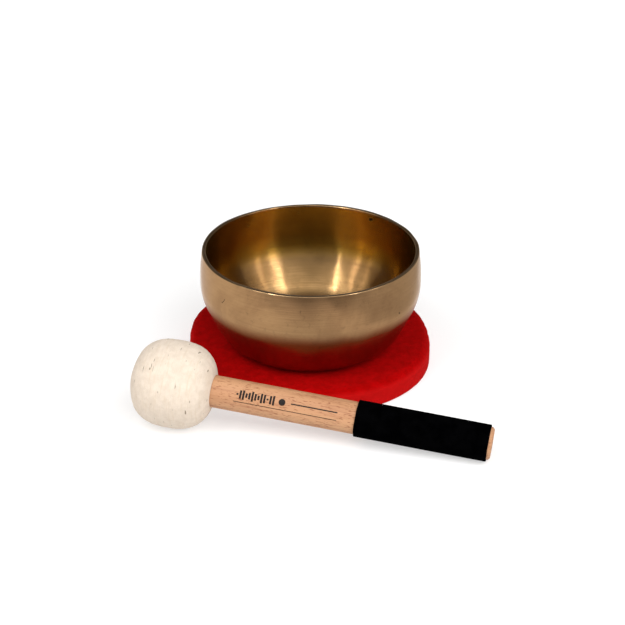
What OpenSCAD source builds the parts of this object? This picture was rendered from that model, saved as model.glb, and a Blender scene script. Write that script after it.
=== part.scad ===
// Hand-hammered singing bowl on a round felt pad, with its felt-headed mallet lying in front.
// Millimetres, +Z up. The origin is the centre of the pad's underside, on the table.

/* [Bowl] */
// Largest outside diameter, at the belly
belly_d = 130.4; // [100:0.2:160]
// Height of the belly above the bowl's base
belly_h = 39; // [34:0.5:44]
// Overall height of the bowl
bowl_h = 58.6; // [52:0.2:70]
// Radius of the upper wall's curve, from the belly to the lip
upper_r = 124; // [80:1:160]
// Radius of the turn just below the belly
turn_r = 32; // [28:0.5:40]
// Slope of the side where the turn ends, from upright
side_slope = 23; // [20:0.5:26]
// Radius of the side's curve, from the turn down to the corner
side_r = 200; // [120:5:260]
// Radius of the corner between the side and the base
corner_r = 18; // [14:0.5:20]
// Thickness of the wall from the belly up
wall_t = 2.4; // [1.6:0.1:3]
// Thickness of the base
base_t = 3; // [2:0.1:3.5]
// Slope of the inside where the turn ends: the wall thickens towards the base
inner_slope = 26.5; // [25:0.5:29]
// Radius of the inside's curve, from the turn down to the corner
inner_side_r = 100; // [80:5:160]
// Radius of the inside corner
inner_corner_r = 20; // [16:0.5:22]
// Rounding of the lip's two edges
lip_r = 0.5; // [0.2:0.1:0.8]
// How far the bowl stands to the right of the pad's centre
bowl_x = 1; // [-5:0.5:5]
// How far the bowl stands behind the pad's centre
bowl_y = -4; // [-5:0.5:5]

/* [Felt pad] */
// Diameter of the pad where it is widest
pad_d = 146.4; // [132:0.2:180]
// Thickness of the pad
pad_t = 14; // [8:0.5:20]
// Rounding of the pad's upper edge
pad_top_r = 5; // [2:0.5:7]
// Rounding of the pad's lower edge
pad_base_r = 1.5; // [0.5:0.5:3]

/* [Mallet] */
// Overall length of the mallet, head included
mallet_l = 202; // [160:1:240]
// Diameter of the wooden stick
stick_d = 18; // [14:0.5:20]
// Chamfer round the stick's bare end
stick_chamfer = 1; // [0.3:0.1:1.5]
// How far the bare end stands out of the suede
bare_end = 1.9; // [1.6:0.1:4]
// Length of the suede wrap
wrap_l = 73; // [50:0.5:85]
// Thickness of the suede
wrap_t = 1.2; // [0.8:0.1:2]
// Left to right place of the head's centre
head_x = -74.7; // [-90:0.1:-60]
// Front to back place of the head's centre
head_y = -79.7; // [-100:0.1:-79]
// Direction of the stick on the table, from the head, turned clockwise from the right
heading = 12.6; // [0:0.1:16]

/* [Mallet head] */
// Diameter of the felt head
head_d = 49; // [42:0.5:52]
// Length of the felt head along the stick
head_l = 46.6; // [42:0.2:50]
// Squareness of the head's outline, 2 for an ellipse
head_power = 2.6; // [2:0.1:3.5]
// Thickness of the outer felt cover
cover_t = 2.6; // [2:0.1:3.5]
// Diameter of the hard core
core_d = 30; // [26:0.5:32]
// Length of the hard core
core_l = 26; // [22:0.5:28]
// Rounding of the core's edges
core_edge_r = 3; // [1:0.5:4]
// Depth that the stick goes into the core
core_bore = 20; // [14:0.5:21]
// Width of the band of thread that gathers the cover at the neck
tie_w = 1.4; // [0.8:0.1:1.6]
// Thickness of the band of thread
tie_t = 0.8; // [0.4:0.1:1.2]

/* [Hidden] */
smooth = 144;          // facets round a full turn in a preview
arc_steps = 14;        // points along a rounded corner
side_steps = 22;       // points along a long curve
turn_steps = 10;       // points along the bowl's turn
edge_steps = 4;        // points round a lip edge

belly_r = belly_d / 2;
lip_h = bowl_h - lip_r;      // where the lip's rounding begins

pad_r = pad_d / 2;

stick_r = stick_d / 2;
wrap_r = stick_r + wrap_t;
half_head = head_l / 2;
head_r = head_d / 2;
core_r = core_d / 2;
end_s = mallet_l - half_head;      // the bare end, along the stick from the head's centre
wrap_end_s = end_s - bare_end;
wrap_start_s = wrap_end_s - wrap_l;
stick_start_s = core_l / 2 - core_bore;

// The mallet rests on its head and on the far edge of its wrap, so its tilt follows from both.
support_power = head_power / (head_power - 1);
function head_support(tilt) =
    pow(pow(half_head * sin(tilt), support_power) + pow(head_r * cos(tilt), support_power),
        1 / support_power);
function rest_tilt(rounds, tilt = 0) =
    rounds == 0 ? tilt
    : rest_tilt(rounds - 1, asin((head_support(tilt) - wrap_r * cos(tilt)) / wrap_end_s));
mallet_tilt = rest_tilt(6);
head_z = head_support(mallet_tilt);

// Points of an arc in a profile, from one angle to another.
function arc(cx, cz, r, from, to, steps) =
    [for (i = [0:steps]) let (a = from + (to - from) * i / steps)
        [cx + r * cos(a), cz + r * sin(a)]];

// One face of the bowl's wall, from the middle of its base up to the lip. Four arcs meet smoothly:
// the corner, the side, the turn below the belly, and the upper wall.
function bowl_face(belly, upper, turn, slope, side, corner, base) =
    let (side_cx = belly - turn - (side - turn) * cos(slope),
         side_cz = belly_h + (side - turn) * sin(slope),
         drop = side_cz - base - corner,
         corner_cx = side_cx + sqrt(pow(side - corner, 2) - pow(drop, 2)),
         meet = atan2(drop, corner_cx - side_cx))
    concat([[0, base]],
           arc(corner_cx, base + corner, corner, -90, -meet, arc_steps),
           arc(side_cx, side_cz, side, -meet, -slope, side_steps),
           arc(belly - turn, belly_h, turn, -slope, 0, turn_steps),
           arc(belly - upper, belly_h, upper, 0, asin((lip_h - belly_h) / upper), arc_steps));

// Half of the head's outline pulled in by a distance, from the nose to where it meets radius r_end.
function head_point(a, inset) =
    [(head_r - inset) * pow(sin(a), 2 / head_power),
     -sign(cos(a)) * (half_head - inset) * pow(abs(cos(a)), 2 / head_power)];
function neck_turn(r_end, inset) =
    180 - asin(pow(r_end / (head_r - inset), head_power / 2));
function head_outline(inset, r_end) =
    [for (i = [0:2 * side_steps])
        head_point(neck_turn(r_end, inset) * i / (2 * side_steps), inset)];
neck_s = head_outline(0, stick_r)[2 * side_steps][1];
cover_neck_s = head_outline(cover_t, stick_r)[2 * side_steps][1];
function reverse(points) = [for (i = [len(points) - 1:-1:0]) points[i]];

module turned(points) {
    rotate_extrude($fn = smooth) polygon(points);
}

// Puts a piece that is built along +Z, from the head's centre, where the mallet lies.
module lay_mallet() {
    translate([head_x, head_y, head_z])
        rotate([0, 90 + mallet_tilt, -heading])
            children();
}

// Thick disc cut from wool felt, softly rounded at the top.
module felt_pad() {
    color("firebrick")
        turned(concat(
            [[0, 0]],
            arc(pad_r - pad_base_r, pad_base_r, pad_base_r, -90, 0, edge_steps),
            arc(pad_r - pad_top_r, pad_t - pad_top_r, pad_top_r, 0, 90, arc_steps),
            [[0, pad_t]]));
}

// Bronze bowl: flat base, soft belly line, slightly closing mouth and a flat lip with eased edges.
module bowl() {
    outer = bowl_face(belly_r, upper_r, turn_r, side_slope, side_r, corner_r, 0);
    inner = bowl_face(belly_r - wall_t, upper_r - wall_t, turn_r - wall_t, inner_slope,
                      inner_side_r, inner_corner_r, base_t);
    lip_out = outer[len(outer) - 1][0] - lip_r;
    lip_in = inner[len(inner) - 1][0] + lip_r;
    color("peru")
        translate([bowl_x, bowl_y, pad_t])
            turned(concat(
                outer,
                arc(lip_out, lip_h, lip_r, 0, 90, edge_steps),
                arc(lip_in, lip_h, lip_r, 90, 180, edge_steps),
                reverse(inner)));
}

// Beech dowel, glued into the core at one end and bare at the other.
module mallet_stick() {
    color("burlywood")
        lay_mallet()
            turned([[0, stick_start_s], [stick_r, stick_start_s],
                    [stick_r, end_s - stick_chamfer], [stick_r - stick_chamfer, end_s],
                    [0, end_s]]);
}

// Suede sleeve glued round the stick.
module grip_wrap() {
    color("black")
        lay_mallet()
            turned([[stick_r, wrap_start_s], [wrap_r, wrap_start_s],
                    [wrap_r, wrap_end_s], [stick_r, wrap_end_s]]);
}

// The core's outer shape: a short drum with rounded edges.
module core_blank() {
    edge_x = core_r - core_edge_r;
    edge_s = core_l / 2 - core_edge_r;
    turned(concat([[0, -core_l / 2]],
                  arc(edge_x, -edge_s, core_edge_r, -90, 0, edge_steps),
                  arc(edge_x, edge_s, core_edge_r, 0, 90, edge_steps),
                  [[0, core_l / 2]]));
}

// Hard core with a blind hole for the stick.
module head_core() {
    color("dimgray")
        lay_mallet()
            difference() {
                core_blank();
                translate([0, 0, stick_start_s])
                    cylinder(r = stick_r, h = core_l, $fn = smooth);
            }
}

// Wound felt that fills the space between the core and the cover.
module head_padding() {
    color("wheat")
        lay_mallet()
            difference() {
                turned(concat(head_outline(cover_t, stick_r), [[0, cover_neck_s]]));
                core_blank();
                translate([0, 0, stick_start_s])
                    cylinder(r = stick_r, h = head_l, $fn = smooth);
            }
}

// Band of thread wound round the stick, halfway through the cover's neck.
module neck_band() {
    band_s = (neck_s + cover_neck_s - tie_w) / 2;
    turned([[stick_r, band_s], [stick_r + tie_t, band_s],
            [stick_r + tie_t, band_s + tie_w], [stick_r, band_s + tie_w]]);
}

// Outer felt cover, gathered round the stick at the neck.
module head_cover() {
    color("cornsilk")
        lay_mallet()
            difference() {
                turned(concat(head_outline(0, stick_r), reverse(head_outline(cover_t, stick_r))));
                neck_band();
            }
}

// Waxed thread in the gathered edge of the cover.
module neck_tie() {
    color("tan")
        lay_mallet()
            neck_band();
}

felt_pad();
bowl();
mallet_stick();
grip_wrap();
head_core();
head_padding();
head_cover();
neck_tie();
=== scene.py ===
"""Looks of the singing bowl set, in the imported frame: a bronze bowl, a red felt pad and a mallet
with a felt head."""
import math

import bmesh
import bpy
import numpy as np
from mathutils import Matrix, Vector


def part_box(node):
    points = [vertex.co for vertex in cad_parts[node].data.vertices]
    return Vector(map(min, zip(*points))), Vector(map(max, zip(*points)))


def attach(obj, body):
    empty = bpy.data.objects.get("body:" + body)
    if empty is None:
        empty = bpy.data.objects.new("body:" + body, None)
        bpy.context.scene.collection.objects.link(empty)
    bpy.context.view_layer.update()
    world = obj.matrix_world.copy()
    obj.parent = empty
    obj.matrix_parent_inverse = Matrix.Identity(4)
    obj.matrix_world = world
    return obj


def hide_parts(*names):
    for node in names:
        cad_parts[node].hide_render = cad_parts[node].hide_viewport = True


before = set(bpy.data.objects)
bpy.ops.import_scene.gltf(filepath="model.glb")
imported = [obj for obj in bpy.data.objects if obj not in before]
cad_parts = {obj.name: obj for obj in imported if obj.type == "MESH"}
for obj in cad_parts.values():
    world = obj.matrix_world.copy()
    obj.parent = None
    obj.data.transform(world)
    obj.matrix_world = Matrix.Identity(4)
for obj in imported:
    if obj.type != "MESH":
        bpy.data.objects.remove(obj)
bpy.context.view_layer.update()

MM = 0.001
SEED = 20

# ---------------------------------------------------------------- places, from the frame


def middle(node):
    """Centre of a node's box."""
    low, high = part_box(node)
    return (low + high) / 2


bowl_low, bowl_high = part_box("bowl")
pad_low, pad_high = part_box("felt_pad")
BOWL_AXIS = Vector((middle("bowl").x, middle("bowl").y, bowl_low.z))
BOWL_HEIGHT = bowl_high.z - bowl_low.z
BELLY_RADIUS = (bowl_high.x - bowl_low.x) / 2
PAD_RADIUS = (pad_high.x - pad_low.x) / 2
PAD_THICKNESS = pad_high.z - pad_low.z
HEAD_CENTRE = middle("head_core")
MALLET_AXIS = (middle("grip_wrap") - HEAD_CENTRE).normalized()


def span(node):
    """Where a mallet node starts and ends along the stick, from the head's centre."""
    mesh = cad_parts[node].data
    along = [(v.co - HEAD_CENTRE).dot(MALLET_AXIS) for v in mesh.vertices]
    return min(along), max(along)


def reach(node):
    """How far a mallet node reaches out from the stick's axis."""
    out = 0.0
    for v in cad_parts[node].data.vertices:
        offset = v.co - HEAD_CENTRE
        out = max(out, (offset - MALLET_AXIS * offset.dot(MALLET_AXIS)).length)
    return out


STICK_SPAN, STICK_RADIUS = span("mallet_stick"), reach("mallet_stick")
WRAP_SPAN, WRAP_RADIUS = span("grip_wrap"), reach("grip_wrap")
HEAD_SPAN, HEAD_RADIUS = span("head_cover"), reach("head_cover")

# Shape of the bowl that its box doesn't give, as in the design.
BELLY_HEIGHT = 39 * MM
UPPER_RADIUS = 124 * MM
TURN_RADIUS = 32 * MM
WALL = 2.4 * MM
LIP_EDGE = 0.5 * MM

# Turned shape of the mallet's head that its boxes don't give, as in the design.
HEAD_POWER = 2.6
COVER = 2.6 * MM
CORE_EDGE = 3 * MM

# Noise units a metre across the brushing, so that its lines lie close.
BRUSHING = 1200.0

# ---------------------------------------------------------------- mesh making


def upright(origin):
    """Frame at origin with its z up."""
    return Matrix.Translation(origin)


def along_mallet():
    """Frame at the head's centre: z runs along the stick, x is level and y points up."""
    z = MALLET_AXIS
    x = z.cross(Vector((0, 0, 1))).normalized()
    y = z.cross(x)
    if y.z < 0:
        x, y = -x, -y
    turn = Matrix((x, y, z)).transposed().to_4x4()
    return Matrix.Translation(HEAD_CENTRE) @ turn


def arc(cx, cz, radius, start, stop, steps):
    """Points of a profile on an arc round (cx, cz), with its ends in degrees."""
    turn = np.radians(np.linspace(start, stop, steps))
    return np.stack([cx + radius * np.cos(turn), cz + radius * np.sin(turn)], 1)


def line(start, stop, steps):
    """Points of a profile on a straight line."""
    return np.linspace(start, stop, steps)


def join(*runs):
    """One profile from several runs of points, without the points that repeat."""
    points = np.concatenate([np.atleast_2d(run) for run in runs])
    keep = [0]
    for i in range(1, len(points)):
        if np.hypot(*(points[i] - points[keep[-1]])) > 1e-7:
            keep.append(i)
    return points[keep]


def lathe(name, profile, turns, place, push=None, closed=False):
    """A turned mesh. profile holds (radius, height); push gives how far each point stands out
    along its normal, sideways and up, from its angle, way along the profile, radius and height."""
    count = len(profile)
    step = np.roll(profile, -1, 0) - np.roll(profile, 1, 0)
    if not closed:
        step[0], step[-1] = profile[1] - profile[0], profile[-1] - profile[-2]
    step /= np.linalg.norm(step, axis=1)[:, None]
    normal = np.stack([step[:, 1], -step[:, 0]], 1)
    gaps = np.linalg.norm(np.diff(profile, axis=0), axis=1)
    along = np.concatenate([[0], np.cumsum(gaps)])
    angle = np.linspace(0, 2 * math.pi, turns, endpoint=False)
    grid_angle, grid_along = np.meshgrid(angle, along)
    radius = np.repeat(profile[:, :1], turns, 1)
    height = np.repeat(profile[:, 1:], turns, 1)
    if push:
        out, wide, up = push(grid_angle, grid_along, radius, height)
        fade = np.clip(radius / (2 * MM), 0, 1)
        radius, height = (radius + (out * normal[:, :1] + wide) * fade,
                          height + (out * normal[:, 1:] + up) * fade)
    points = np.stack([radius * np.cos(grid_angle), radius * np.sin(grid_angle), height], 2)
    points = points.reshape(-1, 3)
    faces, uvs = [], []
    rows = count if closed else count - 1
    total = along[-1]
    for i in range(rows):
        after = (i + 1) % count
        this_row, next_row = i * turns, after * turns
        low, high = along[i] / total, along[after] / total
        for j in range(turns):
            beside = (j + 1) % turns
            left, right = j / turns, (j + 1) / turns
            faces.append((this_row + j, this_row + beside, next_row + beside, next_row + j))
            uvs += [(left, low), (right, low), (right, high), (left, high)]
    mesh = bpy.data.meshes.new(name)
    mesh.from_pydata(points.tolist(), [], faces)
    layer = mesh.uv_layers.new(name="turned")
    layer.data.foreach_set("uv", np.array(uvs, np.float32).ravel())
    row = mesh.attributes.new("row", "INT", "FACE")
    row.data.foreach_set("value", np.repeat(np.arange(rows), turns).astype(np.int32))
    mesh.polygons.foreach_set("use_smooth", np.ones(len(faces), bool))
    mesh.transform(place)
    weld(mesh)
    obj = bpy.data.objects.new(name, mesh)
    bpy.context.scene.collection.objects.link(obj)
    return obj


def weld(mesh):
    """Joins the points that meet on the axis and turns the faces outward."""
    bm = bmesh.new()
    bm.from_mesh(mesh)
    bmesh.ops.remove_doubles(bm, verts=bm.verts, dist=1e-6)
    bmesh.ops.recalc_face_normals(bm, faces=bm.faces)
    bm.to_mesh(mesh)
    bm.free()


def ripples(rng, angle, along, turns, waves, count=24):
    """Smooth random field, about 1 high: a sum of waves that slant along the profile by up to
    waves radians a metre. turns is the fewest and the most of their crests round one turn."""
    field = np.zeros_like(angle)
    for _ in range(count):
        lobes = rng.integers(turns[0], turns[1] + 1)
        slant = rng.uniform(-waves, waves)
        field += np.cos(lobes * angle + slant * along + rng.uniform(0, 2 * math.pi))
    return field * math.sqrt(2 / count)


def dents(rng, angle, along, radius, count, size, band):
    """Shallow round hammer marks, 0 to -1 deep, in a band along the profile."""
    field = np.zeros_like(angle)
    for _ in range(count):
        at, way = rng.uniform(0, 2 * math.pi), rng.uniform(*band)
        width = size * rng.uniform(0.7, 1.3)
        across = (np.mod(angle - at + math.pi, 2 * math.pi) - math.pi) * radius
        far = (across ** 2 + (along - way) ** 2) / width ** 2
        field -= rng.uniform(0.4, 1) * np.exp(-far)
    return field


def settle(obj, body, slot, *nodes):
    """Ties a finished piece to its body and to the CAD nodes it replaces, which it hides. slot, its
    material slot's name, is not used.
    """
    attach(obj, body)
    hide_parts(*nodes)
    return obj


# ---------------------------------------------------------------- materials


class Nodes:
    """A node tree being put together, with short calls for the nodes it uses."""

    def __init__(self, tree):
        self.tree = tree

    def node(self, kind, settings=None, **inputs):
        made = self.tree.nodes.new("ShaderNode" + kind)
        for key, value in (settings or {}).items():
            setattr(made, key, value)
        for key, value in inputs.items():
            self.feed(made.inputs[key.replace("_", " ")], value)
        return made

    def feed(self, socket, value):
        if isinstance(value, bpy.types.NodeSocket):
            self.tree.links.new(value, socket)
        else:
            socket.default_value = value

    def math(self, operation, a, b=0.0):
        made = self.node("Math", {"operation": operation})
        self.feed(made.inputs[0], a)
        self.feed(made.inputs[1], b)
        return made.outputs[0]

    def vector(self, operation, a, b=(0, 0, 0)):
        made = self.node("VectorMath", {"operation": operation})
        self.feed(made.inputs[0], a)
        self.feed(made.inputs[1], b)
        return made.outputs[0]

    def place(self):
        """The surface's place in the object's own space."""
        return self.node("TexCoord").outputs["Object"]

    def noise(self, at, scale, detail=3.0, roughness=0.5, distortion=0.0):
        made = self.node("TexNoise", Vector=at, Scale=scale, Detail=detail, Roughness=roughness,
                         Distortion=distortion)
        return made.outputs["Fac"]

    def band(self, value, low, high, low_out=0.0, high_out=1.0):
        """A smooth step from low_out, where value is at low, to high_out, where it is at high."""
        made = self.node("MapRange", {"interpolation_type": "SMOOTHSTEP"})
        for socket, given in zip(made.inputs, (value, low, high, low_out, high_out)):
            self.feed(socket, given)
        return made.outputs[0]

    def mix(self, share, a, b, blend="MIX"):
        """A colour that goes from a to b with share. The node's colour sockets are 6, 7 and 2."""
        made = self.node("Mix", {"data_type": "RGBA", "blend_type": blend})
        self.feed(made.inputs["Factor"], share)
        self.feed(made.inputs[6], a)
        self.feed(made.inputs[7], b)
        return made.outputs[2]

    def blend(self, share, a, b):
        """A number that goes from a to b with share."""
        return self.node("Mix", {"data_type": "FLOAT"}, Factor=share, A=a, B=b).outputs[0]

    def length(self, vector):
        return self.node("VectorMath", {"operation": "LENGTH"}, Vector=vector).outputs["Value"]

    def dot(self, a, b):
        made = self.node("VectorMath", {"operation": "DOT_PRODUCT"})
        self.feed(made.inputs[0], a)
        self.feed(made.inputs[1], b)
        return made.outputs["Value"]

    def bump(self, height, strength, distance, under=None):
        made = self.node("Bump", Height=height, Strength=strength, Distance=distance)
        if under is not None:
            self.feed(made.inputs["Normal"], under)
        return made.outputs["Normal"]


class Shader(Nodes):
    """A material being put together."""

    def __init__(self, name):
        self.material = bpy.data.materials.new(name)
        self.material.use_nodes = True
        super().__init__(self.material.node_tree)
        self.bsdf = self.tree.nodes["Principled BSDF"]

    def set(self, **sockets):
        for key, value in sockets.items():
            self.feed(self.bsdf.inputs[key.replace("_", " ")], value)


def rgb(red, green, blue):
    """A colour as seen on a screen, 0 to 255, as linear light."""
    def linear(c):
        c /= 255
        return c / 12.92 if c <= 0.04045 else ((c + 0.055) / 1.055) ** 2.4
    return (linear(red), linear(green), linear(blue), 1)


def round_bowl(shader):
    """Place in the bowl's frame, noise coordinates that change slowly round its axis and fast
    across the brushing, height and radius."""
    local = shader.vector("SUBTRACT", shader.place(), tuple(BOWL_AXIS))
    x, y, z = shader.node("SeparateXYZ", Vector=local).outputs
    radius = shader.math("SQRT", shader.math("ADD", shader.math("MULTIPLY", x, x),
                                             shader.math("MULTIPLY", y, y)))
    safe = shader.math("MAXIMUM", radius, 22 * MM)
    across = shader.math("ADD", z, radius)
    lines = shader.node("CombineXYZ", X=shader.math("DIVIDE", x, safe),
                        Y=shader.math("DIVIDE", y, safe),
                        Z=shader.math("MULTIPLY", across, BRUSHING))
    return local, lines.outputs[0], z, radius


def bronze(name, light, dark, roughness, brushing, streaking, pits=(), upper=None, sides=None,
           stretch=0.8):
    """Brushed bronze: cloudy patina, fine lines round the bowl, and a few casting pits.
    Each pit is (turn in degrees, height, size). upper is a tint and the heights over which it
    sets in, sides is painted light and shade, a tint for the left and one for the right, and
    stretch is how far the brushing draws out the gloss."""
    s = Shader(name)
    local, lines, height, radius = round_bowl(s)
    streaks = s.noise(lines, 1.6, 4.0, 0.65)
    clouds = s.noise(local, 26.0, 4.0, 0.6, 0.6)
    specks = s.noise(local, 330.0, 3.0, 0.7)
    colour = s.mix(s.band(clouds, 0.38, 0.64), light, dark)
    colour = s.mix(s.band(specks, 0.55, 0.8, 0.0, 0.5), colour, tuple(0.6 * c for c in dark))
    worn = s.mix(1.0, colour, (streaking, streaking * 0.98, streaking * 0.95, 1), "MULTIPLY")
    colour = s.mix(s.band(streaks, 0.35, 0.7), colour, worn)
    if upper:
        tone, low, high = upper
        colour = s.mix(s.band(height, low, high), colour, s.mix(1.0, colour, tone, "MULTIPLY"))
    # Painted light and shade: sides lightens or darkens the bowl's left and right, as the light
    # falls there.
    if sides:
        across = s.node("SeparateXYZ", Vector=local).outputs[0]
        for tone, side in zip(sides, (-1, 1)):
            wide = s.math("MULTIPLY", across, side)
            painted_side_shading = s.mix(1.0, colour, tone, "MULTIPLY")
            colour = s.mix(s.band(wide, 25 * MM, 60 * MM), colour, painted_side_shading)
    rough = s.band(streaks, 0.3, 0.75, roughness - 0.03, roughness + 0.05)
    bumps = s.bump(streaks, brushing, 0.12 * MM)
    if pits:
        ragged = s.noise(local, 1500.0, 2.0, 0.6)
        direction = s.vector("MULTIPLY", lines, (BELLY_RADIUS, BELLY_RADIUS, 0))
        skin = s.vector("ADD", direction, s.node("CombineXYZ", Z=height).outputs[0])
    for turn, rise, size in pits:
        angle = math.radians(turn)
        spot = (BELLY_RADIUS * math.cos(angle), BELLY_RADIUS * math.sin(angle), rise)
        away = s.node("VectorMath", {"operation": "DISTANCE"})
        s.feed(away.inputs[0], skin)
        s.feed(away.inputs[1], spot)
        far = s.math("ADD", away.outputs["Value"], s.math("MULTIPLY", ragged, size))
        pit = s.band(far, size, size * 1.7, 1.0, 0.0)
        colour = s.mix(pit, colour, (0.03, 0.016, 0.008, 1))
        rough = s.math("ADD", rough, s.math("MULTIPLY", pit, 0.4))
    s.set(Base_Color=colour, Metallic=1.0, Roughness=rough,
          Anisotropic=s.band(radius, 3 * MM, 25 * MM, 0.0, stretch),
          Anisotropic_Rotation=0.25, Normal=bumps, Specular_Tint=(0.88, 0.8, 0.72, 1),
          Tangent=s.node("Tangent", {"direction_type": "RADIAL", "axis": "Z"}).outputs[0])
    return s.material


def felt(name, base, deep, pale, sheen, grain, lumps, cut=None):
    """Wool felt: mottled colour, matted fibres and a soft sheen. grain and lumps are the scales of
    its fibres and its mottling. Where it faces sideways it leans to the colour cut: the felt's
    paler cut edge, and painted light on its sides."""
    s = Shader(name)
    at = s.place()
    fibres = s.noise(at, grain, 6.0, 0.7, 1.5)
    mottle = s.noise(at, lumps, 4.0, 0.6)
    colour = s.mix(s.band(mottle, 0.3, 0.7), base, deep)
    colour = s.mix(s.band(fibres, 0.45, 0.8, 0.0, 0.6), colour, pale)
    # Painted light: faces that turn sideways lean to the colour cut, partly the felt's paler cut
    # edge, partly the light falling on its sides.
    if cut:
        facing = s.node("SeparateXYZ", Vector=s.node("TexCoord").outputs["Normal"]).outputs[2]
        colour = s.mix(s.band(facing, 0.2, 0.85, 0.6, 0.0), colour, cut)
    matted = s.bump(mottle, 0.5, 0.6 * MM)
    s.set(Base_Color=colour, Roughness=0.95, Normal=s.bump(fibres, 0.6, 0.3 * MM, matted),
          Sheen_Weight=sheen, Sheen_Roughness=0.5, Specular_IOR_Level=0.1)
    return s


def round_mallet(shader, radius):
    """Place from the head's centre, way along the stick, and way out from its axis in radii."""
    local = shader.vector("SUBTRACT", shader.place(), tuple(HEAD_CENTRE))
    along = shader.dot(local, tuple(MALLET_AXIS))
    on_axis = shader.node("VectorMath", {"operation": "SCALE"}, Scale=along)
    shader.feed(on_axis.inputs[0], tuple(MALLET_AXIS))
    outward = shader.vector("SUBTRACT", local, on_axis.outputs[0])
    return local, along, shader.vector("DIVIDE", outward, (radius,) * 3)


def stretched(shader, outward, along, round_scale, along_scale):
    """Noise coordinates with their own scales round the stick and along it."""
    axial = shader.node("VectorMath", {"operation": "SCALE"},
                        Scale=shader.math("MULTIPLY", along, along_scale))
    shader.feed(axial.inputs[0], tuple(MALLET_AXIS))
    spread = shader.vector("MULTIPLY", outward, (round_scale,) * 3)
    return shader.vector("ADD", spread, axial.outputs[0])


def fleece():
    """Cream felt of the head: fine grooves round it, soft fibres and a few dark hairs."""
    s = felt("cream_fleece", rgb(220, 206, 190), rgb(209, 194, 177), rgb(230, 220, 208), 0.1,
             1200.0, 300.0)
    _, along, outward = round_mallet(s, HEAD_RADIUS)
    grooves = s.noise(stretched(s, outward, along, 2.2, 1000.0), 1.0, 3.0, 0.6)
    hairs = s.noise(stretched(s, outward, along, 4.0, 900.0), 1.0, 1.0, 0.4)
    colour = s.bsdf.inputs["Base Color"].links[0].from_socket
    colour = s.mix(s.band(grooves, 0.5, 0.72, 0.0, 0.55), colour, rgb(206, 188, 164))
    colour = s.mix(s.band(hairs, 0.725, 0.765, 0.0, 0.85), colour, rgb(120, 105, 85))
    under = s.bsdf.inputs["Normal"].links[0].from_socket
    s.set(Base_Color=colour, Normal=s.bump(grooves, 0.5, 0.3 * MM, under))
    return s.material


def sound_wave(s, along, outward):
    """A plain printed ornament on the stick's front: a sound wave in strokes, a dot and two rules.
    Its middle line runs along the stick 38 degrees above the level of the stick's axis."""
    turn = s.math("ARCSINE", s.dot(outward, (0, 0, 1)))
    across = s.math("MULTIPLY", s.math("SUBTRACT", turn, math.radians(38)), STICK_RADIUS)
    front = s.math("LESS_THAN", s.node("SeparateXYZ", Vector=outward).outputs[1], 0.0)

    def within(value, centre, half):
        return s.math("LESS_THAN", s.math("ABSOLUTE", s.math("SUBTRACT", value, centre)), half)

    strokes, pitch = 13, 1.7 * MM
    count = s.math("DIVIDE", s.math("SUBTRACT", along, 37 * MM), pitch)
    stroke = s.math("FLOOR", count)
    swell = s.math("ABSOLUTE", s.math("SINE", s.math("MULTIPLY", stroke, 2.2)))
    tall = s.math("ADD", s.math("MULTIPLY", swell, 2.3 * MM), 0.5 * MM)
    bars = s.math("MULTIPLY", within(s.math("FRACT", count), 0.5, 0.34),
                  s.math("LESS_THAN", s.math("ABSOLUTE", across), tall))
    bars = s.math("MULTIPLY", bars, within(count, strokes / 2, strokes / 2))
    from_dot = s.node("CombineXYZ", X=s.math("SUBTRACT", along, 63 * MM), Y=across)
    dot = s.math("LESS_THAN", s.length(from_dot.outputs[0]), 1.9 * MM)
    rule = s.math("MULTIPLY", within(along, 81 * MM, 13 * MM), within(across, 0.0, 0.35 * MM))
    fine = s.math("MULTIPLY", within(along, 65 * MM, 29 * MM),
                  within(across, -4.3 * MM, 0.2 * MM))
    ink = s.math("MAXIMUM", s.math("MAXIMUM", bars, dot), s.math("MAXIMUM", rule, fine))
    return s.math("MULTIPLY", ink, front)


def wood():
    """Fine beech: faint grain along the stick, short dark flecks and a printed ornament."""
    s = Shader("beech")
    local, along, outward = round_mallet(s, STICK_RADIUS)
    tone = s.noise(stretched(s, outward, along, 0.8, 10.0), 1.0, 3.0, 0.5)
    grain = s.noise(stretched(s, outward, along, 4.0, 40.0), 1.0, 5.0, 0.65)
    flecks = s.noise(stretched(s, outward, along, 13.0, 330.0), 1.0, 2.0, 0.5)
    colour = s.mix(s.band(tone, 0.3, 0.7), rgb(196, 150, 112), rgb(185, 137, 101))
    colour = s.mix(s.band(grain, 0.46, 0.68, 0.0, 0.65), colour, rgb(158, 110, 80))
    colour = s.mix(s.band(flecks, 0.55, 0.68, 0.0, 0.85), colour, rgb(140, 88, 60))
    worn = s.band(s.noise(local, 3000.0, 2.0, 0.6), 0.25, 0.5, 0.9, 1.0)
    ink = s.math("MULTIPLY", sound_wave(s, along, outward), worn)
    colour = s.mix(ink, colour, (0.008, 0.005, 0.004, 1))
    s.set(Base_Color=colour, Roughness=0.55, Normal=s.bump(flecks, 0.15, 0.2 * MM),
          Specular_IOR_Level=0.25)
    return s.material


def suede():
    """Black suede: a short nap, brushed lighter in places."""
    s = Shader("suede")
    at = s.place()
    nap = s.noise(at, 2500.0, 4.0, 0.7)
    strokes = s.noise(at, 120.0, 3.0, 0.6)
    colour = s.mix(s.band(strokes, 0.35, 0.7), (0.0003, 0.0003, 0.0004, 1),
                   (0.001, 0.001, 0.0012, 1))
    s.set(Base_Color=colour, Roughness=0.95, Normal=s.bump(nap, 0.5, 0.3 * MM),
          Sheen_Weight=0.003, Sheen_Roughness=0.4, Specular_IOR_Level=0.0)
    return s.material


def paint_node(node, material):
    """Gives a CAD node that stays its procedural material."""
    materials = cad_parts[node].data.materials
    if not materials:
        materials.append(material)
    for i in range(len(materials)):
        materials[i] = material


# ---------------------------------------------------------------- the bowl


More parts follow.
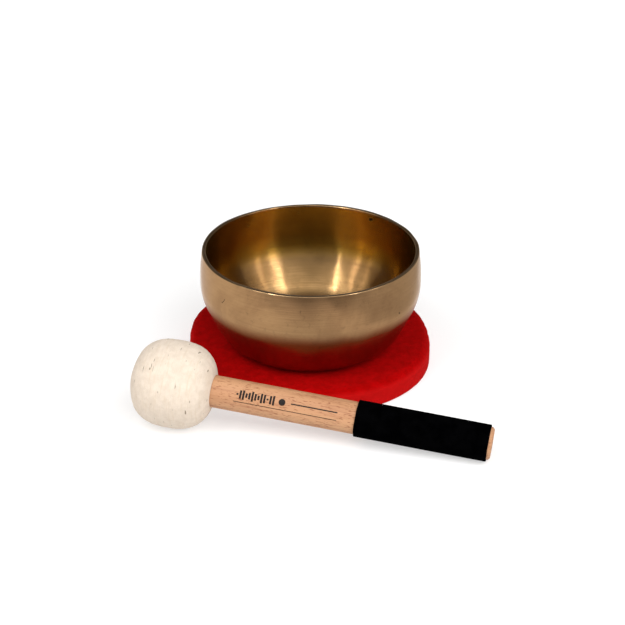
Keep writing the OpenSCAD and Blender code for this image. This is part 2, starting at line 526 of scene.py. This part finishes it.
def bowl_face(belly, upper, turn, slope, side, corner, base):
    """One face of the wall, from the base's centre to the lip. belly, upper, turn, side and corner
    are radii, slope is the side's lean below the turn in degrees, and base is a height."""
    lean = math.radians(slope)
    side_x = belly - turn - (side - turn) * math.cos(lean)
    side_z = BELLY_HEIGHT + (side - turn) * math.sin(lean)
    drop = side_z - base - corner
    corner_x = side_x + math.sqrt((side - corner) ** 2 - drop ** 2)
    meet = math.degrees(math.atan2(drop, corner_x - side_x))
    top = math.degrees(math.asin((BOWL_HEIGHT - LIP_EDGE - BELLY_HEIGHT) / upper))
    return join(line((0, base), (corner_x, base), 40),
                arc(corner_x, base + corner, corner, -90, -meet, 30),
                arc(side_x, side_z, side, -meet, -slope, 24),
                arc(belly - turn, BELLY_HEIGHT, turn, -slope, 0, 24),
                arc(belly - upper, BELLY_HEIGHT, upper, 0, top, 30))


def bowl_finishes():
    """The bowl's four bronze finishes: outside, inside, lip face and lip edges. The inside has
    painted light on its left, and the lip has painted shade at its left and right.
    """
    outside_pits = [(-140.3, 43.9 * MM, 0.45 * MM), (-139.4, 45.0 * MM, 0.5 * MM),
                    (-138.5, 46.2 * MM, 0.4 * MM), (-39.2, 37.1 * MM, 0.6 * MM),
                    (-154, 34.1 * MM, 0.4 * MM), (-95, 50 * MM, 0.3 * MM),
                    (40, 30 * MM, 0.6 * MM), (118, 37 * MM, 0.5 * MM), (96, 44 * MM, 0.4 * MM)]
    inside_pits = [(53.6, 54.2 * MM, 1.3 * MM), (52.6, 54.7 * MM, 1.2 * MM),
                   (97, 53 * MM, 0.4 * MM), (128, 50 * MM, 0.4 * MM)]
    return [bronze("bronze_outside", (0.37, 0.216, 0.102, 1), (0.295, 0.165, 0.078, 1),
                   0.15, 0.07, 0.93, outside_pits),
            # The inside's sides tint is painted light on its left.
            bronze("bronze_inside", (0.375, 0.228, 0.098, 1), (0.325, 0.192, 0.08, 1),
                   0.22, 0.12, 0.86, inside_pits, upper=((1.17, 1.12, 0.42, 1), 22 * MM, 32 * MM),
                   sides=((1.16, 1.2, 1.2, 1), (1, 1, 1, 1)), stretch=0.95),
            # The lip's sides tints are painted shade at its left and right; the edges' brighter
            # bronze is partly rubbed metal, partly a painted highlight.
            bronze("bronze_lip", (0.3, 0.19, 0.10, 1), (0.22, 0.135, 0.075, 1),
                   0.26, 0.1, 0.85, sides=((0.4, 0.38, 0.36, 1),) * 2),
            bronze("bronze_lip_edges", (0.55, 0.36, 0.19, 1), (0.42, 0.27, 0.14, 1),
                   0.2, 0.1, 0.85, sides=((0.5, 0.48, 0.45, 1),) * 2)]


def make_bowl():
    """The bowl, with waves, hammer marks and a small knock in its lip."""
    rng = np.random.default_rng(SEED)
    top = BOWL_HEIGHT - LIP_EDGE
    edge_rows = 6
    outer = bowl_face(BELLY_RADIUS, UPPER_RADIUS, TURN_RADIUS, 23, 200 * MM, 18 * MM, 0)
    inner = bowl_face(BELLY_RADIUS - WALL, UPPER_RADIUS - WALL, TURN_RADIUS - WALL, 26.5,
                      100 * MM, 20 * MM, 3 * MM)
    lip_out, lip_in = outer[-1][0], inner[-1][0]
    lip = join(arc(lip_out - LIP_EDGE, top, LIP_EDGE, 0, 90, edge_rows + 1),
               line((lip_out - LIP_EDGE, BOWL_HEIGHT), (lip_in + LIP_EDGE, BOWL_HEIGHT), 6),
               arc(lip_in + LIP_EDGE, top, LIP_EDGE, 90, 180, edge_rows + 1))
    profile = join(outer, lip, inner[::-1])
    first_lip, last_lip = len(outer), len(outer) + len(lip) - 2
    lengths = np.concatenate([[0], np.cumsum(np.linalg.norm(np.diff(profile, axis=0), axis=1))])
    lip_start, lip_end = lengths[first_lip], lengths[last_lip]
    knock_turn, knock_width = 0.75, 0.13

    def push(angle, along, radius, height):
        wave = ripples(rng, angle, along, (2, 7), 40) * 0.12 * MM
        small = ripples(rng, angle, along, (8, 26), 300) * 0.035 * MM
        marks = dents(rng, angle, along, radius, 260, 5 * MM, (35 * MM, lip_start)) * 0.10 * MM
        inside = dents(rng, angle, along, radius, 160, 6 * MM, (lip_end, lengths[-1])) * 0.08 * MM
        near_lip = np.clip((height - BOWL_HEIGHT + 4 * MM) / (4 * MM), 0, 1)
        up = near_lip * ripples(rng, angle, along * 0, (2, 9), 1) * 0.05 * MM
        knock = np.exp(-((angle - knock_turn) / knock_width) ** 2) * near_lip * 0.2 * MM
        knock = np.where(along < lip_start, -knock, np.where(along > lip_end, knock, 0))
        still = np.clip(radius / (25 * MM), 0, 1) ** 2
        return (wave + small + marks + inside) * still + knock, 0, up

    bowl = lathe("singing_bowl", profile, 480, upright(BOWL_AXIS), push)
    for finish in bowl_finishes():
        bowl.data.materials.append(finish)
    outside, inside, lip_face, lip_edges = range(4)
    rows = np.zeros(len(bowl.data.polygons), np.int32)
    bowl.data.attributes["row"].data.foreach_get("value", rows)
    slots = np.where(rows < last_lip + 1, lip_edges, inside)
    slots = np.where(rows < first_lip - 1, outside, slots)
    flat = (rows >= first_lip + edge_rows) & (rows < last_lip - edge_rows)
    slots = np.where(flat, lip_face, slots).astype(np.int32)
    bowl.data.polygons.foreach_set("material_index", slots)
    return settle(bowl, "bowl", "bronze", "bowl")


# ---------------------------------------------------------------- the pad


def make_pad():
    """The pad. Its edge is cut out of round at the sides and in front, and round at the back."""
    rng = np.random.default_rng(SEED + 1)
    top_edge, base_edge = 5 * MM, 1.5 * MM
    profile = join(line((0, 0), (PAD_RADIUS - base_edge, 0), 20),
                   arc(PAD_RADIUS - base_edge, base_edge, base_edge, -90, 0, 6),
                   line((PAD_RADIUS, base_edge), (PAD_RADIUS, PAD_THICKNESS - top_edge), 10),
                   arc(PAD_RADIUS - top_edge, PAD_THICKNESS - top_edge, top_edge, 0, 90, 16),
                   line((PAD_RADIUS - top_edge, PAD_THICKNESS), (0, PAD_THICKNESS), 60))

    def push(angle, along, radius, height):
        edge = np.clip((radius - PAD_RADIUS + 12 * MM) / (12 * MM), 0, 1)
        # How far the edge stands out in millimetres, which fades to nothing towards the back.
        uneven = (0.66 + 0.41 * np.cos(2 * angle + 0.32) + 0.68 * np.cos(3 * angle - 0.93)
                  + 1.84 * np.cos(4 * angle + 2.89))
        uneven = uneven * np.clip(2 - 2 * np.sin(angle), 0, 1)
        cut = (uneven + ripples(rng, angle, along * 0, (4, 9), 1) * 0.2) * MM * edge
        lumps = ripples(rng, angle, along, (10, 60), 500, 40) * 0.07 * MM
        return lumps * edge * np.clip(height / (4 * MM), 0, 1), cut, 0

    pad = lathe("red_felt_pad", profile, 360, upright(Vector((0, 0, pad_low.z))), push)
    # cut is the pad's side colour: the felt's paler cut edge and painted light on its side.
    shader = felt("red_felt", rgb(162, 2, 4), rgb(140, 1, 1), rgb(182, 13, 13), 0.05, 1400.0,
                  260.0, cut=rgb(186, 20, 20))
    shader.set(Sheen_Tint=(1.0, 0.1, 0.08, 1), Specular_IOR_Level=0.02)
    pad.data.materials.append(shader.material)
    settle(pad, "pad", "pad_felt", "felt_pad")
    return pad


# ---------------------------------------------------------------- the mallet


def head_outline(radius, half, power, stop, steps):
    """(radius, along) of the head's outline, from its nose to where it meets the stick."""
    last = math.pi - math.asin((stop / radius) ** (power / 2))
    a = np.linspace(0, last, steps)
    return np.stack([radius * np.abs(np.sin(a)) ** (2 / power),
                     -half * np.sign(np.cos(a)) * np.abs(np.cos(a)) ** (2 / power)], 1)


def cover_lining():
    """The cover's inner face, which lies on the padding."""
    return head_outline(HEAD_RADIUS - COVER, -HEAD_SPAN[0] - COVER, HEAD_POWER, STICK_RADIUS, 80)


def make_head():
    """The head's cover, a shell with a groove in its neck for the thread."""
    rng = np.random.default_rng(SEED + 2)
    outer = head_outline(HEAD_RADIUS, -HEAD_SPAN[0], HEAD_POWER, STICK_RADIUS, 150)
    band_start, band_end = span("neck_tie")
    band_radius = reach("neck_tie")
    band = [(STICK_RADIUS, band_end), (band_radius, band_end), (band_radius, band_start),
            (STICK_RADIUS, band_start)]
    profile = join(outer, band, cover_lining()[::-1])
    outer_length = np.linalg.norm(np.diff(outer, axis=0), axis=1).sum()

    def push(angle, along, radius, height):
        body = np.clip(radius / (15 * MM), 0, 1) * (along <= outer_length)
        grooves = ripples(rng, angle, along, (0, 3), 3200, 30) * 0.03 * MM
        soft = ripples(rng, angle, along, (2, 5), 80) * 0.07 * MM
        return (grooves + soft) * body, 0, 0

    head = lathe("mallet_head_cover", profile, 300, along_mallet(), push)
    head.data.materials.append(fleece())
    settle(head, "mallet", "head_felt", "head_cover")
    return head


def make_padding(material):
    """The wound felt between the cover and the core."""
    radius, half = reach("head_core"), span("head_core")[1]
    inset = radius - CORE_EDGE
    core = join(line((0, -half), (inset, -half), 8),
                arc(inset, CORE_EDGE - half, CORE_EDGE, -90, 0, 8),
                arc(inset, half - CORE_EDGE, CORE_EDGE, 0, 90, 8),
                line((inset, half), (STICK_RADIUS, half), 4))
    padding = lathe("head_wadding", join(cover_lining(), core[::-1]), 160, along_mallet())
    padding.data.materials.append(material)
    return settle(padding, "mallet", "padding_felt", "head_padding")


def make_stick():
    """The beech stick, with a small chamfer at its bare end."""
    start, end = STICK_SPAN
    chamfer = 1 * MM
    profile = join(line((0, start), (STICK_RADIUS, start), 8),
                   line((STICK_RADIUS, start), (STICK_RADIUS, end - chamfer), 60),
                   line((STICK_RADIUS, end - chamfer), (STICK_RADIUS - chamfer, end), 5),
                   line((STICK_RADIUS - chamfer, end), (0, end), 12))
    stick = lathe("beech_stick", profile, 96, along_mallet())
    stick.data.materials.append(wood())
    return settle(stick, "mallet", "beech", "mallet_stick")


def make_wrap():
    """The suede sleeve round the stick."""
    rng = np.random.default_rng(SEED + 3)
    start, end = WRAP_SPAN
    edge = 0.35 * MM
    inside, outside = STICK_RADIUS, WRAP_RADIUS
    profile = join(line((inside, start), (outside - edge, start), 4),
                   arc(outside - edge, start + edge, edge, -90, 0, 5),
                   line((outside, start + edge), (outside, end - edge), 120),
                   arc(outside - edge, end - edge, edge, 0, 90, 5),
                   line((outside - edge, end), (inside, end), 4))

    def push(angle, along, radius, height):
        return ripples(rng, angle, along, (2, 8), 120) * 0.04 * MM, 0, 0

    wrap = lathe("suede_wrap", profile, 160, along_mallet(), push, closed=True)
    wrap.data.materials.append(suede())
    return settle(wrap, "mallet", "suede", "grip_wrap")


def make_mallet():
    """All of the mallet. The bowl doesn't mirror it."""
    wadding = felt("wound_felt", rgb(225, 215, 195), rgb(210, 200, 178), rgb(235, 226, 208), 0.1,
                   900.0, 200.0)
    core = felt("core_rubber", (0.05, 0.05, 0.05, 1), (0.03, 0.03, 0.03, 1), (0.08, 0.08, 0.08, 1),
                0.0, 900.0, 200.0)
    thread = felt("waxed_thread", rgb(200, 180, 130), rgb(180, 160, 110), rgb(220, 200, 150), 0.0,
                  3000.0, 900.0)
    pieces = [make_head(), make_padding(wadding.material), make_stick(), make_wrap()]
    pieces += [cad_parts["head_core"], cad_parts["neck_tie"]]
    for piece in pieces:
        piece.visible_glossy = False
    paint_node("head_core", core.material)
    paint_node("neck_tie", thread.material)


# ---------------------------------------------------------------- stage, lights and camera


def make_floor():
    """A pale studio table that glows a little, so shadows stay light, and more far away. The bowl
    mirrors it with painted light and shade: dim far in front, a little dim in the middle, dim to
    the right, and a painted dark red shadow with red bounce light under and close to the pad."""
    half = 12.0
    mesh = bpy.data.meshes.new("studio_floor")
    low = -0.1 * MM
    mesh.from_pydata([(-half, -half, low), (half, -half, low), (half, half, low),
                      (-half, half, low)], [], [(0, 1, 2, 3)])
    floor = bpy.data.objects.new("studio_floor", mesh)
    bpy.context.scene.collection.objects.link(floor)
    s = Shader("studio_white")
    # Distances on the table are in metres from the pad's centre.
    x, y = s.node("SeparateXYZ", Vector=s.place()).outputs[:2]
    path = s.node("LightPath").outputs
    # Painted light and shade for the bowl's mirror only: the table dims far in front, a little in
    # the middle and to the right.
    far = s.band(y, -0.54, -0.2, 0.4, 1.24)
    painted_middle_dimming = s.band(s.math("ABSOLUTE", x), 0.015, 0.1, 0.8, 1.0)
    painted_right_dimming = s.band(x, 0.09, 0.16, 0.98, 0.64)
    painted_mirror_light = s.math("MULTIPLY", far, s.math("MULTIPLY", painted_middle_dimming, painted_right_dimming))
    # Painted dark red shadow and red bounce light under and close to the pad, for the mirror only.
    squashed = s.node("CombineXYZ", X=x, Y=s.math("MULTIPLY", y, 0.93))
    clear_of_painted_pad_shadow = s.band(s.length(squashed.outputs[0]), 0.074, 0.118)
    tint = s.mix(clear_of_painted_pad_shadow, (0.32, 0.09, 0.04, 1), (1, 1, 1, 1))
    glossy = path["Is Glossy Ray"]
    glow = s.band(s.length(s.place()), 0.3, 1.4, 0.47, 0.9)
    glow = s.math("SUBTRACT", glow, s.math("MULTIPLY", path["Is Diffuse Ray"], 0.15))
    s.set(Base_Color=s.mix(glossy, (0.58, 0.58, 0.58, 1), (0, 0, 0, 1)), Roughness=0.9,
          Specular_IOR_Level=0.0, Emission_Color=s.mix(glossy, (1, 1, 1, 1), tint),
          Emission_Strength=s.blend(glossy, glow, painted_mirror_light))
    mesh.materials.append(s.material)


def make_world():
    """Studio walls, plain white to the camera. In front they are dim low down and bright high up,
    and behind they are middling low down and dim high up."""
    world = bpy.data.worlds.new("studio")
    world.use_nodes = True
    s = Nodes(world.node_tree)
    y, z = s.node("SeparateXYZ", Vector=s.node("TexCoord").outputs["Generated"]).outputs[1:]
    front = s.band(y, 0.15, -0.35)
    front_wall = s.band(z, 0.43, 0.74, 0.24, 1.1)
    back_wall = s.band(z, 0.2, 0.75, 0.52, 0.1)
    walls = s.blend(front, back_wall, front_wall)
    background = s.tree.nodes["Background"]
    s.feed(background.inputs["Color"], (1, 1, 1, 1))
    seen = s.node("LightPath").outputs["Is Camera Ray"]
    s.feed(background.inputs["Strength"], s.blend(seen, walls, 1.0))
    bpy.context.scene.world = world


def softbox(name, turn, width, low, high, glow, lean=0.0, colour=(1, 1, 1), distance=1.5):
    """A light panel in front of the bowl. Angles are in degrees as the bowl sees them: turn is from
    straight ahead to the right, width is how wide it looks, low and high are how high up its edges
    are, and lean is that of its top to the right. glow is its brightness, with the walls about 1."""
    turn, rise = math.radians(turn), math.radians((low + high) / 2)
    level = math.cos(rise)
    way = Vector((math.sin(turn) * level, -math.cos(turn) * level, math.sin(rise)))
    data = bpy.data.lights.new(name, "AREA")
    data.shape = "RECTANGLE"
    data.color = colour
    data.size = 2 * distance * math.tan(math.radians(width / 2))
    data.size_y = 2 * distance * math.tan(math.radians((high - low) / 2))
    data.energy = 4 * glow * data.size * data.size_y
    light = bpy.data.objects.new(name, data)
    facing = (-way).to_track_quat("-Z", "Y").to_matrix().to_4x4()
    light.matrix_world = (Matrix.Translation(BOWL_AXIS + way * distance) @ facing
                          @ Matrix.Rotation(-math.radians(lean), 4, "Z"))
    bpy.context.scene.collection.objects.link(light)
    return light


def make_lights():
    """Panels and strips that the bowl mirrors on both sides, and a key light that it doesn't."""
    warm = (1.0, 0.9, 0.82)
    softbox("right_panel", 46, 64, 24, 80, 0.32)
    softbox("right_glow", 66, 46, 18, 46, 0.7, 0, warm)
    softbox("right_strip", 50, 7, 24, 68, 4.0, 14)
    softbox("right_second_strip", 69, 8, 20, 42, 1.2, 8, warm)
    softbox("right_high_patch", 44, 22, 47, 66, 0.9)
    softbox("left_panel", -50, 60, 28, 80, 0.28)
    softbox("left_glow", -64, 48, 17, 38, 0.5, 0, warm)
    softbox("left_strip", -45, 4, 26, 68, 6.2, -24)
    softbox("left_second_strip", -60, 7, 22, 52, 2.0, -8, warm)
    softbox("left_third_strip", -75, 4, 18, 38, 0.9, -8, warm)
    softbox("left_high_patch", -47, 8, 50, 68, 4.0)
    key = softbox("key", 14, 36, 24, 48, 3.1)
    key.visible_glossy = False


def make_camera():
    """A long lens that looks down at the set from the front."""
    data = bpy.data.cameras.new("camera")
    data.sensor_width = 36
    data.lens = 90.84
    data.clip_end = 50
    camera = bpy.data.objects.new("camera", data)
    down, yaw, roll = math.radians(27.69), math.radians(0.093), math.radians(0.115)
    camera.matrix_world = (Matrix.Translation((0.8 * MM, -838.7 * MM, 467.8 * MM))
                           @ Matrix.Rotation(-yaw, 4, "Z")
                           @ Matrix.Rotation(math.pi / 2 - down, 4, "X")
                           @ Matrix.Rotation(roll, 4, "Z"))
    bpy.context.scene.collection.objects.link(camera)
    bpy.context.scene.camera = camera


make_camera()
make_world()
make_lights()
make_floor()
make_bowl()
make_pad()
make_mallet()
bpy.context.scene.view_settings.view_transform = "Standard"
